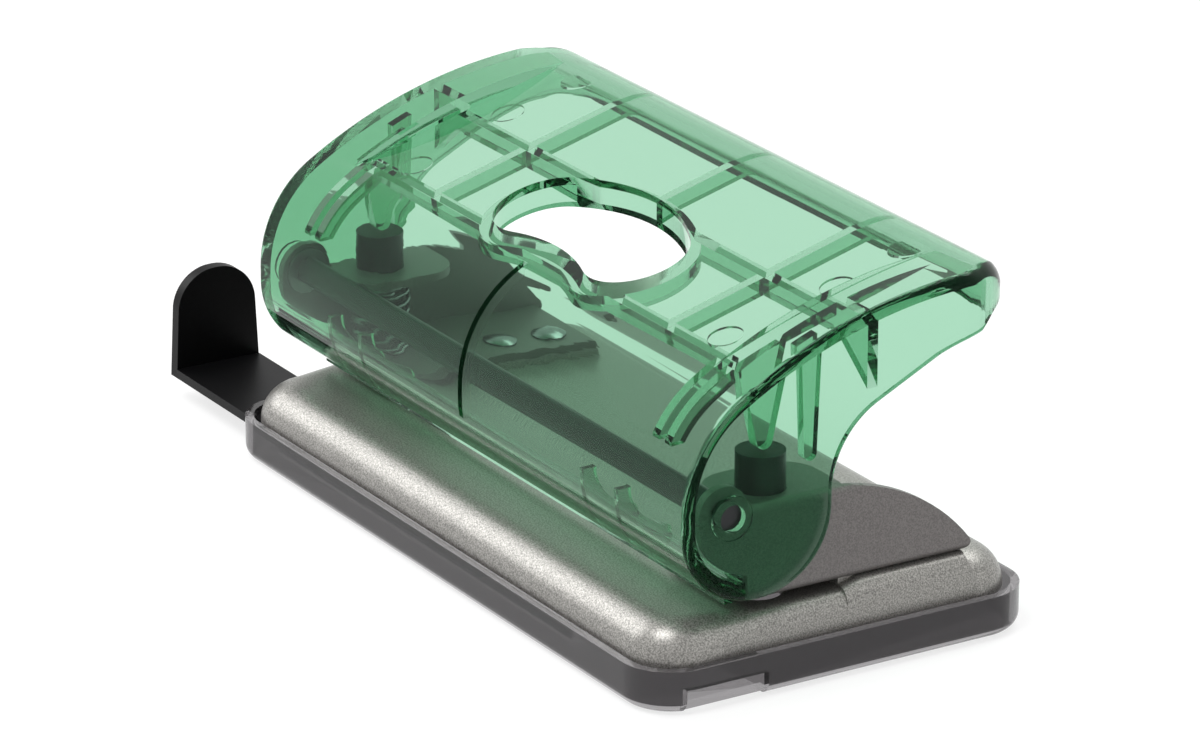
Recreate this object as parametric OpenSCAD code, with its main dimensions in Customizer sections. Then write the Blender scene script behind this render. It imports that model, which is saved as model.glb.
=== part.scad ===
// Mini hole punch: two pins under a translucent lever, on a steel base with a chip tray.
// X runs along the punch, Y from the paper side to the back, Z up.
// The origin is the middle of the face that the tray rests on.

/* [Chip tray] */
// Length of the tray, for holes at the standard distance
tray_l = 94; // [93.5:0.5:104]
// Depth of the tray, paper side to back
tray_d = 50; // [49:0.5:60]
// Height of the tray's rim
tray_h = 5.1; // [5:0.1:6]
// Wall thickness of the tray
tray_wall = 1; // [0.8:0.1:1.2]
// Floor thickness of the tray
tray_floor = 1; // [0.8:0.1:1.2]
// Plan radius of the tray's corners
tray_corner_r = 6; // [5:0.5:8]
// Rounding of the tray's bottom edge
tray_foot_r = 1.8; // [1:0.1:2.5]
// Width of the finger notch in the right end
notch_w = 10.2; // [6:0.2:14]
// Height of the finger notch
notch_h = 2.9; // [2:0.1:3.6]

/* [Base plate] */
// Height of the paper table
table_z = 9.2; // [8.8:0.1:10]
// Sheet thickness of the base plate
plate_t = 0.9; // [0.7:0.1:1.2]
// Outer rounding of the table's edge
plate_edge_r = 4.4; // [3:0.1:4.5]
// Plan radius of the plate's corners
plate_corner_r = 6.2; // [5:0.1:8]
// Depth of the plate's skirt inside the tray's rim
skirt_lap = 0.5; // [0.3:0.1:0.6]

/* [Punching] */
// Distance between the two holes
hole_pitch = 80; // [70:0.5:80]
// Diameter of the punch pins
pin_d = 5.5; // [4.5:0.1:5.6]
// Distance of the pins from the front of the tray
pin_setback = 17.5; // [17:0.1:18.5]
// Distance of the hole centre from the sheet's edge
sheet_edge = 8; // [6:0.5:12]
// Height of the paper slot
slot_h = 1; // [0.8:0.1:1.2]
// Stroke of the pins
stroke = 2.05; // [1.6:0.05:2.2]
// Height of the pin heads above the tabs
head_h = 4.3; // [3.8:0.1:4.8]

/* [Brackets] */
// Sheet thickness of the brackets
bracket_t = 1; // [0.8:0.1:1.2]
// Inward length of the bottom flange
flange_w = 15; // [13:0.5:20]
// Height of the tabs over the paper slot
tab_rise = 11.1; // [10.8:0.1:12]
// Outer bend radius of the sheet
bend_r = 1.2; // [0.8:0.1:1.5]
// Radius of the ear's back curve
ear_r = 24.5; // [22:0.5:30]
// Distance from the pins to where the back curve starts
ear_flat = 5; // [0:0.5:6]
// Distance from the pins back to the end of the tab
tab_back = 8; // [6.5:0.1:9]
// Radius of the lobe round the axle
lobe_r = 3; // [2.6:0.1:3.1]

/* [Axle] */
// Diameter of the axle
axle_d = 3; // [2:0.1:3]
// Distance from the axle back to the pins
pin_arm = 7.6; // [7.4:0.1:8.2]
// Height of the axle over the tabs, below them when negative
axle_drop = 0.1; // [-0.4:0.1:0.5]

/* [Lever] */
// Length of the lever, for holes at the standard distance
lever_l = 93.2; // [92.8:0.2:98]
// Thickness of the lever's end walls
end_wall = 1.5; // [1.2:0.1:1.6]
// Thickness of the lever's skin
skin_t = 1.9; // [1.5:0.1:2.1]
// Thickness of the recessed flat
flat_t = 1.45; // [1.2:0.05:1.8]
// Radius of the drum's lower part
drum_r = 9.3; // [9.2:0.1:9.6]
// Radius of the drum's upper front
front_r = 14.2; // [13.5:0.1:15]
// Radius of the crown at both ends
crown_r = 60; // [54:1:70]
// Distance from the drum's front to the handle's back
lever_d = 43.7; // [40:0.1:46]
// Rounding of the handle's back edge
back_r = 5.5; // [4:0.1:6]
// Plan radius of the handle's back corners
lever_corner_r = 8.5; // [6:0.5:10]
// Width of the raised border at each end
border_w = 8.1; // [7.5:0.1:8.6]
// Slope of the recessed flat
flat_slope = 0.275; // [0.26:0.005:0.29]
// Depth of ribs and collar under the flat
rib_depth = 3.5; // [2.6:0.1:4]
// Thickness of the ribs
rib_t = 1.3; // [1:0.1:1.6]
// Half distance between the two lobes of the hole
hole_half = 9.6; // [7:0.1:11]
// Radius of the lobes of the hole
hole_r = 6; // [5:0.1:6.4]
// Width of the centre slit
slit_w = 0.9; // [0.6:0.1:1.4]

/* [Return springs] */
// Wire diameter
wire_d = 0.45; // [0.35:0.05:0.5]
// Number of curls in each spring
curls = 5; // [4:1:6]

/* [Paper guide] */
// Width of the guide's arm
arm_w = 11.2; // [9:0.1:11.4]
// Thickness of the guide's arm
arm_t = 1.1; // [0.9:0.1:1.2]
// Length of the arm in the tray and outside
arm_l = 74; // [66:1:80]
// Reach of the stop beyond the tray
stop_reach = 18.7; // [17:0.1:24]
// Height of the stop
stop_h = 13.1; // [10:0.1:16]
// Thickness of the stop
stop_t = 1.5; // [1.2:0.1:2]

/* [Hidden] */
$fn = 64;
eps = 0.01;
far = 200;

// Clearances
groove = 0.3;
side_gap = 0.4;
axle_fit = 0.05;
pin_fit = 0.06;
rivet_fit = 0.05;
ring_fit = 0.05;
guide_gap = 0.3;
tip_gap = 0.2;
clip_gap = 0.15;
nose_gap = 0.2;
spring_gap = 0.05;
wire_gap = 0.08;
skin_gap = 0.5;

// Tray and lever are given for holes 80 mm apart, and grow with that distance
pitch_more = hole_pitch - 80;
tray_len = tray_l + pitch_more;

// Places that the other sizes give
pin_x = hole_pitch / 2;
pin_y = pin_setback - tray_d / 2;
pin_r = pin_d / 2;
sheet_stop_y = pin_y + sheet_edge;
slot_top = table_z + slot_h;
tab_z = slot_top + tab_rise;
tab_under = tab_z - bracket_t;
tab_gap = 0.35;
tab_r = pin_arm - axle_d / 2 - tab_gap;
flange_top = slot_top + bracket_t;
axle_y = pin_y - pin_arm;
axle_z = tab_z + axle_drop;
axle_r = axle_d / 2;
lever_half = (lever_l + pitch_more) / 2;
ear_x = lever_half - end_wall - side_gap;
ear_in = ear_x - bracket_t;
head_z = tab_z + head_h;

// Plate
plate_l = tray_len - 2 * (tray_wall + groove);
plate_d = tray_d - 2 * (tray_wall + groove);
skirt_z = tray_h - skirt_lap;
plate_under = table_z - plate_t;
end_edge_r = 2;
end_lap = 0.6;
land_y = pin_y - 1.5;
pad_ramp = 2.2;
pad_sill = 0.35;
pad_margin = 0.7;
pad_fall = 1.2;
corner_y = plate_d / 2 - plate_corner_r;

// Drum and lever outline, from the axle
drum_dy = 3.6;
drum_dz = -1;
drum_y = axle_y + drum_dy;
drum_z = axle_z + drum_dz;
front_y = drum_y - drum_r;
front_rise = 1.7;
front_c = [front_y + front_r, drum_z + front_rise];
crown_a = 121.5;
crown_c = front_c - (crown_r - front_r) * [cos(crown_a), sin(crown_a)];
lever_back = front_y + lever_d;
back_y = lever_back - back_r;
back_a = acos((back_y - crown_c[0]) / (crown_r - back_r));
back_c = [back_y, crown_c[1] + (crown_r - back_r) * sin(back_a)];
lip_a = 262;
neck_r = 10.2;
neck_rise = 1.1;
neck_a = 115;
neck_c = [drum_y + drum_r + neck_r, drum_z + neck_rise];
heel_r = 1.3;
heel_run_r = 30;
heel_a = 110;

// The recessed flat leaves the drum at its front end
flat_y = drum_y - 0.8;
flat_z = crown_c[1] + sqrt(pow(crown_r, 2) - pow(flat_y - crown_c[0], 2));
flat_drop = flat_t * sqrt(1 + pow(flat_slope, 2));
flat_half = lever_half - border_w;

// Hole in the flat: two lobes, a bowed back and a dent in front
hole_y = drum_y + 7.6;
hole_bow = 2.4;
hole_dip = 1.6;
hole_back = hole_y + hole_r + hole_bow;
hole_dent = hole_y - hole_r + hole_dip;
collar_t = 1.3;

// Ribs
rib_x = 25;
rib_front_y = drum_y + 2.2;
rib_back_y = drum_y + 14.7;
short_rib_xs = [pin_x - 3.4, pin_x - 1];
short_rib_y = drum_y - 6;
short_rib_z = drum_z + 7;
cradle_xs = [24.2, 31.2];
cradle_t = 0.8;
press_t = 1.6;
nose_r = 1;
nose_z = head_z + nose_gap + nose_r;
press_half = 4.7;
stop_rib_x = pin_x + 2.8;
stop_rib_t = 1.2;
stop_nose_r = 0.8;
stop_rib_y = pin_y + pin_r + 1.35;
stop_gap = 0.1;
stop_nose_z = tab_z + stop_gap + stroke * (stop_rib_y - axle_y) / pin_arm + stop_nose_r;
gusset_drop = 7.4;
gusset_run = 5;
boss_r = 2.5;
boss_h = 0.4;

// Lip under the drum's front
lip_t = 1.15;
lip_y = drum_y + (drum_r - skin_t) * cos(lip_a);
lip_z = table_z + 0.8;
lip_half = ear_in - skin_gap;

// Bracket outline
ear_curve_y = pin_y + ear_flat;
tail_r = 1;
tail_z = slot_top + tail_r;
tail_y = ear_curve_y + sqrt(pow(ear_r - tail_r, 2) - pow(tail_z - tab_z + ear_r, 2));
pad_back = min(tail_y + pad_margin, corner_y - pad_fall);
tab_corner_r = 4.5;
flange_front = lip_y + skin_gap;
ear_front_r = drum_r - skin_t - 0.8;
ear_front_a = 258;

// Rivets
rivet_r = 1.2;
rivet_head_r = 2.1;
rivet_head_h = 0.8;
rivet_tail_h = 0.6;
rivet_in = 4.3;
rivet_first = 4.5;
rivet_step = 7;
rivet_x = ear_x - flange_w + rivet_in;
rivet_ys = [sheet_stop_y + rivet_first, sheet_stop_y + rivet_first + rivet_step];

// Pin hardware
tip_z = slot_top + tip_gap;
clip_t = 0.6;
clip_z = tab_under - clip_gap - clip_t;
clip_r = pin_r + 0.65;
clip_in = pin_r - 0.5;
clip_mouth = 3.2;
washer_t = 0.5;
washer_z = clip_z - washer_t;
tip_hollow_r = 5;
tip_hollow_h = 0.6;

// Axle rings
ring_t = 0.5;
ring_r = axle_r + 1.05;
ring_neck = 0.25;
ring_gap = 0.15;
ring_x = ear_in - ring_gap - ring_t;
axle_end = lever_half - 0.3;

// Guide
guide_z = 2.7;
chip_gap = 1.05;
arm_y = pin_y - pin_r - chip_gap;
arm_front = arm_y - arm_w;
stop_face = -tray_len / 2 - stop_reach + stop_t;
stop_taper = 0.4;
stop_top_r = 0.48 * (arm_w - 2 * stop_taper);
rail_w = 1.2;
rail_gap = 0.2;
rail_inset = 1;
rail_end = 26;
hook_in = 7;
hook_x = hook_in - tray_len / 2;
hook_l = 12;
hook_t = 0.9;
hook_over = 3;

// Colours
tray_colour = [0.35, 0.34, 0.35];
plate_colour = [0.72, 0.72, 0.70];
bracket_colour = [0.46, 0.44, 0.44];
steel_colour = [0.75, 0.76, 0.78];
lever_colour = [0.42, 0.74, 0.58, 0.75];
guide_colour = [0.06, 0.06, 0.07];

// Points along an arc, close enough together for a hundredth of a millimetre;
// first and last leave out the ends that a neighbouring arc already has
chord_error = 0.01;
function arc_steps(r, a0, a1) = max(2, ceil(abs(a1 - a0) / (2 * acos(1 - chord_error / r))));
function arc(c, r, a0, a1, first = 0, last = 0) =
    let (n = arc_steps(r, a0, a1))
    [for (i = [first:n - last]) let (a = a0 + (a1 - a0) * i / n) c + r * [cos(a), sin(a)]];

// Extrudes an outline in Y and Z along X, and one in X and Z along Y
module along_x(x0, x1) {
    translate([x0, 0, 0])
        rotate([90, 0, 90])
            linear_extrude(x1 - x0)
                children();
}
module along_y(y0, y1) {
    translate([0, y1, 0])
        rotate([90, 0, 0])
            linear_extrude(y1 - y0)
                children();
}
module box(x0, x1, y0, y1, z0, z1) {
    translate([x0, y0, z0])
        cube([x1 - x0, y1 - y0, z1 - z0]);
}
module both_ends() {
    children();
    mirror([1, 0, 0])
        children();
}
module ring(r_out, r_in, h) {
    difference() {
        cylinder(r = r_out, h = h);
        translate([0, 0, -1])
            cylinder(r = r_in, h = h + 2);
    }
}

// A tub or lid of one wall section, carried round a rectangle with round corners
module round_frame(l, d, r) {
    sx = l / 2 - r;
    sy = d / 2 - r;
    for (q = [0:3])
        translate([(q == 0 || q == 3) ? sx : -sx, (q < 2) ? sy : -sy, 0])
            rotate([0, 0, 90 * q])
                rotate_extrude(angle = 90)
                    children();
    for (s = [0, 180])
        rotate([0, 0, s]) {
            translate([sx, 0, 0])
                along_y(-sy, sy)
                    children();
            translate([0, sy, 0])
                rotate([0, 0, 90])
                    along_y(-sx, sx)
                        children();
        }
}

// Chip tray
module tray_section() {
    r = tray_corner_r;
    polygon(concat(
        [[0, 0]],
        arc([r - tray_foot_r, tray_foot_r], tray_foot_r, 270, 360),
        [[r, tray_h], [r - tray_wall, tray_h], [r - tray_wall, tray_floor], [0, tray_floor]]
    ));
}
module guide_hook() {
    post_y = arm_y + guide_gap;
    under = guide_z + arm_t + guide_gap;
    box(hook_x, hook_x + hook_l, post_y, post_y + hook_t, tray_floor - eps, under + hook_t);
    box(hook_x, hook_x + hook_l, arm_y - hook_over, post_y + eps, under, under + hook_t);
}
module chip_tray() {
    color(tray_colour)
        difference() {
            union() {
                round_frame(tray_len, tray_d, tray_corner_r)
                    tray_section();
                translate([0, 0, tray_floor / 2])
                    cube([tray_len - 2 * tray_corner_r, tray_d - 2 * tray_corner_r, tray_floor], center = true);
                for (y = [arm_front + rail_inset, arm_y - rail_inset - rail_w])
                    box(hook_x, rail_end, y, y + rail_w, tray_floor - eps, guide_z - rail_gap);
                guide_hook();
            }
            box(
                -tray_len / 2 - 1, -tray_len / 2 + tray_corner_r - 1,
                arm_front - guide_gap, arm_y + guide_gap,
                guide_z - guide_gap, guide_z + arm_t + guide_gap
            );
            translate([tray_len / 2, tray_d / -2 + tray_corner_r - 1.5 + notch_w / 2, 0])
                cube([2 * tray_foot_r, notch_w, 2 * notch_h], center = true);
        }
}

// Paper guide
module stop_outline() {
    y0 = arm_front + stop_taper + stop_top_r;
    y1 = arm_y - stop_taper - stop_top_r;
    z = guide_z + stop_h - stop_top_r;
    polygon(concat(
        [[arm_front, guide_z], [arm_y, guide_z]],
        arc([y1, z], stop_top_r, 0, 90),
        arc([y0, z], stop_top_r, 90, 180)
    ));
}
module paper_guide() {
    color(guide_colour) {
        along_x(stop_face - stop_t, stop_face)
            stop_outline();
        box(stop_face - eps, stop_face - stop_t + arm_l, arm_front, arm_y, guide_z, guide_z + arm_t);
    }
}

// Base plate
// Solid block under the plate's surface, moved in by t all round and ending at z0
module plate_block(t, z0) {
    r = plate_corner_r - t;
    l = plate_l - 2 * t;
    d = plate_d - 2 * t;
    top = table_z - t;
    edge = plate_edge_r - t;
    round_frame(l, d, r)
        polygon(concat(
            [[0, z0], [r, z0]],
            arc([r - edge, top - edge], edge, 0, 90),
            [[0, top]]
        ));
    box(r - l / 2, l / 2 - r, r - d / 2, d / 2 - r, z0, top);
}
// Points round the plate's end at y, from x0 outwards, raised by up
function end_ring(y, x0, edge, up) =
    let (
        n = arc_steps(end_edge_r, 0, 90),
        c = [plate_l / 2 - edge, table_z + up - edge],
        bend = [for (i = [0:n]) c + edge * [cos(90 * i / n), sin(90 * i / n)]],
        foot = [[x0, skirt_z], [plate_l / 2, skirt_z]]
    )
    [for (p = concat(foot, bend, [[x0, table_z + up]])) [p[0], y, p[1]]];
// Solid through rings of equal length, in the order of Y
module end_loft(rings) {
    n = len(rings[0]);
    last = len(rings) - 1;
    polyhedron(
        points = [for (ring = rings) each ring],
        faces = concat(
            [[for (i = [n - 1:-1:0]) i]],
            [[for (i = [0:n - 1]) last * n + i]],
            [for (k = [0:last - 1], i = [0:n - 1])
                let (a = k * n + i, b = k * n + (i + 1) % n)
                each [[a, b, a + n], [b, b + n, a + n]]]
        )
    );
}
// The end's edge tightens beside the bracket, climbs to the height of its pad and falls to the back corner
module end_shoulder() {
    x0 = plate_l / 2 - plate_edge_r - end_lap;
    end_loft([
        end_ring(-corner_y, x0, plate_edge_r, 0),
        end_ring(land_y, x0, end_edge_r, 0),
        end_ring(sheet_stop_y + pad_ramp, x0, end_edge_r, 0)
    ]);
    end_loft([
        end_ring(sheet_stop_y, x0, end_edge_r, pad_sill * slot_h),
        end_ring(sheet_stop_y + pad_ramp, x0, end_edge_r, slot_h),
        end_ring(pad_back, x0, end_edge_r, slot_h),
        end_ring(corner_y, x0, plate_edge_r, 0)
    ]);
}
// The sheet is raised by the slot's height where a bracket stands on it
module bracket_pad() {
    box(ear_x - flange_w, ear_in, sheet_stop_y, pad_back, plate_under, slot_top);
}
module base_plate() {
    color(plate_colour)
        difference() {
            union() {
                plate_block(0, skirt_z);
                both_ends() {
                    bracket_pad();
                    end_shoulder();
                }
            }
            plate_block(plate_t, skirt_z - 1);
            both_ends() {
                translate([pin_x, pin_y, plate_under - 1])
                    cylinder(r = pin_r + pin_fit, h = plate_t + 2);
                rivet_holes();
            }
        }
}
module rivet_holes() {
    for (y = rivet_ys)
        translate([rivet_x, y, plate_under - 1])
            cylinder(r = rivet_r + rivet_fit, h = flange_top - plate_under + 2);
}

// End bracket: ear with a lobe for the axle, tab for the pin's head, flange over the slot
module ear_outline() {
    curve_c = [ear_curve_y, tab_z - ear_r];
    tail_a = atan2(tail_z - curve_c[1], tail_y - ear_curve_y);
    front_z = drum_z + ear_front_r * sin(ear_front_a) - 0.3;
    polygon(concat(
        [[flange_front, slot_top]],
        arc([tail_y, tail_z], tail_r, -90, tail_a),
        arc(curve_c, ear_r, tail_a, 90, 1),
        [[axle_y, tab_z]],
        arc([drum_y, drum_z], ear_front_r, 180, ear_front_a),
        [[flange_front, front_z]]
    ));
}
module bend(z, up) {
    // Square edge of the ear outside its bend
    translate([ear_x - bend_r, 0, z])
        mirror([0, 0, up ? 0 : 1])
            difference() {
                box(0, bend_r + 1, -far, far, 0, bend_r + 1);
                rotate([90, 0, 0])
                    cylinder(r = bend_r, h = 3 * far, center = true);
            }
}
module tab() {
    x0 = pin_x - tab_r + tab_corner_r;
    y0 = pin_y - tab_r + tab_corner_r;
    y1 = pin_y + tab_back - tab_corner_r;
    translate([0, 0, tab_under])
        linear_extrude(bracket_t)
            polygon(concat(
                [[ear_x, y1 + tab_corner_r]],
                arc([x0, y1], tab_corner_r, 90, 180),
                arc([x0, y0], tab_corner_r, 180, 270),
                [[ear_in, y0 - tab_corner_r], [ear_x, y0 - tab_corner_r + bracket_t]]
            ));
}
module bracket() {
    difference() {
        union() {
            difference() {
                union() {
                    along_x(ear_in, ear_x)
                        ear_outline();
                    tab();
                    box(
                        ear_x - flange_w, ear_x,
                        flange_front, tail_y,
                        slot_top, flange_top
                    );
                }
                bend(slot_top + bend_r, false);
                bend(tab_z - bend_r, true);
            }
            translate([ear_in, axle_y, axle_z])
                rotate([0, 90, 0])
                    cylinder(r = lobe_r, h = bracket_t);
        }
        translate([0, axle_y, axle_z])
            rotate([0, 90, 0])
                cylinder(r = axle_r + axle_fit, h = far);
        // Relief in the tab for the ring on the axle
        translate([ring_x - ring_gap, axle_y, axle_z])
            rotate([0, 90, 0])
                cylinder(r = ring_r + tab_gap, h = ring_t + 2 * ring_gap);
        translate([pin_x, pin_y, 0])
            cylinder(r = pin_r + pin_fit, h = far);
        rivet_holes();
    }
}
module bracket_right() {
    color(bracket_colour)
        bracket();
}
module bracket_left() {
    color(bracket_colour)
        mirror([1, 0, 0])
            bracket();
}
module rivet() {
    translate([0, 0, plate_under - rivet_tail_h])
        cylinder(r = rivet_head_r * 0.9, h = rivet_tail_h);
    translate([0, 0, plate_under - eps])
        cylinder(r = rivet_r, h = flange_top - plate_under + 2 * eps);
    translate([0, 0, flange_top])
        rotate_extrude()
            intersection() {
                square([rivet_head_r, rivet_head_h]);
                translate([0, rivet_head_h - 2 * rivet_head_r])
                    circle(r = 2 * rivet_head_r);
            }
}
module bracket_rivets() {
    color(steel_colour)
        both_ends()
            for (y = rivet_ys)
                translate([rivet_x, y, 0])
                    rivet();
}

// Axle and the rings that hold it between the ears
module axle() {
    color(steel_colour)
        difference() {
            translate([-axle_end, axle_y, axle_z])
                rotate([0, 90, 0])
                    cylinder(r = axle_r, h = 2 * axle_end);
            both_ends()
                translate([ring_x - ring_fit, axle_y, axle_z])
                    rotate([0, 90, 0])
                        ring(axle_r + 1, axle_r - ring_neck, ring_t + 2 * ring_fit);
        }
}
module axle_rings() {
    color(steel_colour)
        both_ends()
            translate([ring_x, axle_y, axle_z])
                rotate([0, 90, 0])
                    ring(ring_r, axle_r - ring_neck + ring_fit, ring_t);
}

// Punch pins and their hardware
module pin() {
    translate([pin_x, pin_y, 0])
        difference() {
            translate([0, 0, tip_z])
                cylinder(r = pin_r, h = head_z - tip_z);
            translate([0, 0, clip_z - ring_fit])
                ring(pin_r + 1, clip_in, clip_t + 2 * ring_fit);
            translate([0, 0, tip_z + tip_hollow_h - tip_hollow_r])
                rotate([90, 0, 0])
                    cylinder(r = tip_hollow_r, h = 4 * pin_r, center = true);
        }
}
module pin_right() {
    color(steel_colour)
        pin();
}
module pin_left() {
    color(steel_colour)
        mirror([1, 0, 0])
            pin();
}
module pin_clip() {
    translate([pin_x, pin_y, clip_z])
        difference() {
            ring(clip_r, clip_in + ring_fit, clip_t);
            box(-far, 0, -clip_mouth / 2, clip_mouth / 2, -1, clip_t + 1);
        }
}
module pin_clip_right() {
    color(steel_colour)
        pin_clip();
}
module pin_clip_left() {
    color(steel_colour)
        mirror([1, 0, 0])
            pin_clip();
}
module spring_washer() {
    translate([pin_x, pin_y, washer_z])
        ring(clip_r, pin_r + pin_fit, washer_t);
}
module spring_washer_right() {
    color(steel_colour)
        spring_washer();
}
module spring_washer_left() {
    color(steel_colour)
        mirror([1, 0, 0])
            spring_washer();
}

// Return spring: one tube wound round the pin, both ends upright on their seats
curl_rings = 8;
wire_sides = 6;
coil_r = (pin_r + wire_gap + wire_d / 2) / cos(180 / curl_rings);
spring_h = washer_z - spring_gap - flange_top;
coil_h = spring_h - 2 * wire_d;
coil_n = curls * curl_rings;
function coil_point(i) =
    let (a = 360 * i / curl_rings)
    [coil_r * cos(a), coil_r * sin(a), wire_d + coil_h * i / coil_n];
spring_path = concat(
    [[coil_r, 0, 0]],
    [for (i = [0:coil_n]) coil_point(i)],
    [[coil_r * cos(360 * curls), coil_r * sin(360 * curls), spring_h]]
);
function unit(v) = v / norm(v);
last_point = len(spring_path) - 1;
function along(i) =
    i == 0 || i == last_point
        ? [0, 0, 1]
        : unit(spring_path[i + 1] - spring_path[i - 1]);
function outward(p) = unit([p[0], p[1], 0]);
function wire_ring(i) =
    let (p = spring_path[i], t = along(i), o = unit(outward(p) - (outward(p) * t) * t), u = cross(t, o))
    [for (k = [0:wire_sides - 1]) let (a = 360 * k / wire_sides) p + wire_d / 2 * (cos(a) * o + sin(a) * u)];
spring_points = [for (i = [0:last_point]) each wire_ring(i)];
function corner(i, k) = i * wire_sides + k % wire_sides;
spring_faces = concat(
    [for (i = [0:last_point - 1], k = [0:wire_sides - 1])
        each [
            [corner(i, k), corner(i + 1, k), corner(i + 1, k + 1)],
            [corner(i, k), corner(i + 1, k + 1), corner(i, k + 1)]
        ]],
    [for (k = [1:wire_sides - 2]) [corner(0, 0), corner(0, k), corner(0, k + 1)]],
    [for (k = [1:wire_sides - 2]) [corner(last_point, 0), corner(last_point, k + 1), corner(last_point, k)]]
);
self_gap = min([
    for (i = [0:last_point], j = [i + curl_rings - 2:1:last_point])
        norm(spring_path[i] - spring_path[j]) - wire_d
]);
echo(spring_least_gap = self_gap);
module spring() {
    translate([pin_x, pin_y, flange_top])
        rotate([0, 0, 180 / curl_rings])
            polyhedron(points = spring_points, faces = spring_faces);
}
module spring_right() {
    color(steel_colour)
        spring();
}
module spring_left() {
    color(steel_colour)
        translate([-2 * pin_x, 0, 0])
            spring();
}

// Lever
// Crown outline from the lip over the drum and handle to the back, moved in by t
function crown(t, from = lip_a) = concat(
    arc([drum_y, drum_z], drum_r - t, from, 180),
    arc(front_c, front_r - t, 180, crown_a),
    arc(crown_c, crown_r - t, crown_a, back_a, 1),
    arc(back_c, back_r - t, back_a, 0, 1)
);
module lever_outline() {
    heel_c = [lever_back - heel_r, back_c[1]];
    polygon(concat(
        crown(0, 360),
        arc(heel_c, heel_r, 360, 270, 1),
        arc(heel_c - [0, heel_r + heel_run_r], heel_run_r, 90, heel_a, 1),
        arc(neck_c, neck_r, neck_a, 180)
    ));
}
module cavity_outline() {
    polygon(concat(crown(skin_t), [[lever_back - skin_t, 0], [lip_y, 0]]));
}
// Half plane under the flat, lowered by drop
module under_flat(drop) {
    y0 = -far;
    y1 = far;
    polygon([
        [y0, flat_z + flat_slope * (y0 - flat_y) - drop],
        [y1, flat_z + flat_slope * (y1 - flat_y) - drop],
        [y1, -2 * far],
        [y0, -2 * far]
    ]);
}
module over_flat(drop) {
    y0 = -far;
    y1 = far;
    polygon([
        [y0, flat_z + flat_slope * (y0 - flat_y) - drop],
        [y1, flat_z + flat_slope * (y1 - flat_y) - drop],
        [y1, 2 * far],
        [y0, 2 * far]
    ]);
}
// Plan of the lever, moved in by t, with round corners at the back
module plan(t) {
    x = lever_half - lever_corner_r;
    y = lever_back - lever_corner_r;
    polygon(concat(
        [[lever_half - t, -far]],
        arc([x, y], lever_corner_r - t, 0, 90),
        arc([-x, y], lever_corner_r - t, 90, 180),
        [[t - lever_half, -far]]
    ));
}
// Kidney outline of the hole, grown by t
module kidney(t) {
    back_cy = hole_y + (pow(hole_bow, 2) - pow(hole_half, 2)) / (2 * hole_bow);
    back_rad = hole_back - back_cy;
    dent_cy = hole_y + (pow(hole_dip, 2) - pow(hole_half, 2)) / (2 * hole_dip);
    dent_rad = hole_dent - dent_cy;
    a_back = atan2(hole_y - back_cy, hole_half);
    a_dent = atan2(hole_y - dent_cy, hole_half);
    polygon(concat(
        arc([hole_half, hole_y], hole_r + t, a_dent - 180, a_back),
        arc([0, back_cy], back_rad + t, a_back, 180 - a_back, 1),
        arc([-hole_half, hole_y], hole_r + t, 180 - a_back, 360 - a_dent, 1),
        arc([0, dent_cy], dent_rad - t, 180 - a_dent, a_dent, 1, 1)
    ));
}
module shell() {
    difference() {
        intersection() {
            along_x(-lever_half, lever_half)
                lever_outline();
            linear_extrude(far)
                plan(0);
        }
        intersection() {
            along_x(end_wall - lever_half, lever_half - end_wall)
                cavity_outline();
            linear_extrude(far)
                plan(end_wall);
            union() {
                along_x(-far, far)
                    under_flat(flat_drop);
                both_ends()
                    box(flat_half + flat_t, far, -far, far, 0, far);
            }
        }
        along_x(-flat_half, flat_half)
            over_flat(0);
    }
}
module rib_slabs() {
    for (y = [rib_front_y, rib_back_y])
        box(-flat_half, flat_half, y - rib_t / 2, y + rib_t / 2, 0, far);
    for (x = [-rib_x, rib_x])
        box(x - rib_t / 2, x + rib_t / 2, rib_front_y, lever_back - skin_t, 0, far);
    box(-rib_t / 2, rib_t / 2, hole_back, lever_back - skin_t, 0, far);
}
module ribs() {
    intersection() {
        along_x(-flat_half - eps, flat_half + eps)
            intersection() {
                over_flat(rib_depth);
                under_flat(flat_drop / 2);
            }
        union() {
            rib_slabs();
            linear_extrude(far)
                kidney(collar_t);
        }
        along_x(-far, far)
            polygon(concat(crown(skin_t / 2), [[lever_back - skin_t / 2, 0], [front_y + skin_t, 0]]));
    }
}
// Wedge that hangs from the skin to a round nose
module hanging_rib(x, t, y, z, r, half) {
    along_x(x - t / 2, x + t / 2)
        intersection() {
            polygon(concat(
                [[y + half, crown_c[1] + crown_r]],
                [[y - half, crown_c[1] + crown_r]],
                arc([y, z], r, 190, 350)
            ));
            polygon(concat(crown(skin_t / 2), [[lever_back, 0], [front_y, 0]]));
        }
}
module short_rib(x) {
    along_x(x - rib_t / 2, x + rib_t / 2)
        intersection() {
            difference() {
                polygon(concat(crown(skin_t / 2), [[lever_back, 0], [front_y, 0]]));
                polygon(concat(crown(rib_depth), [[lever_back, 0], [front_y + rib_depth, 0]]));
            }
            translate([short_rib_y, short_rib_z])
                square([rib_front_y - short_rib_y, far]);
        }
}
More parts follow.
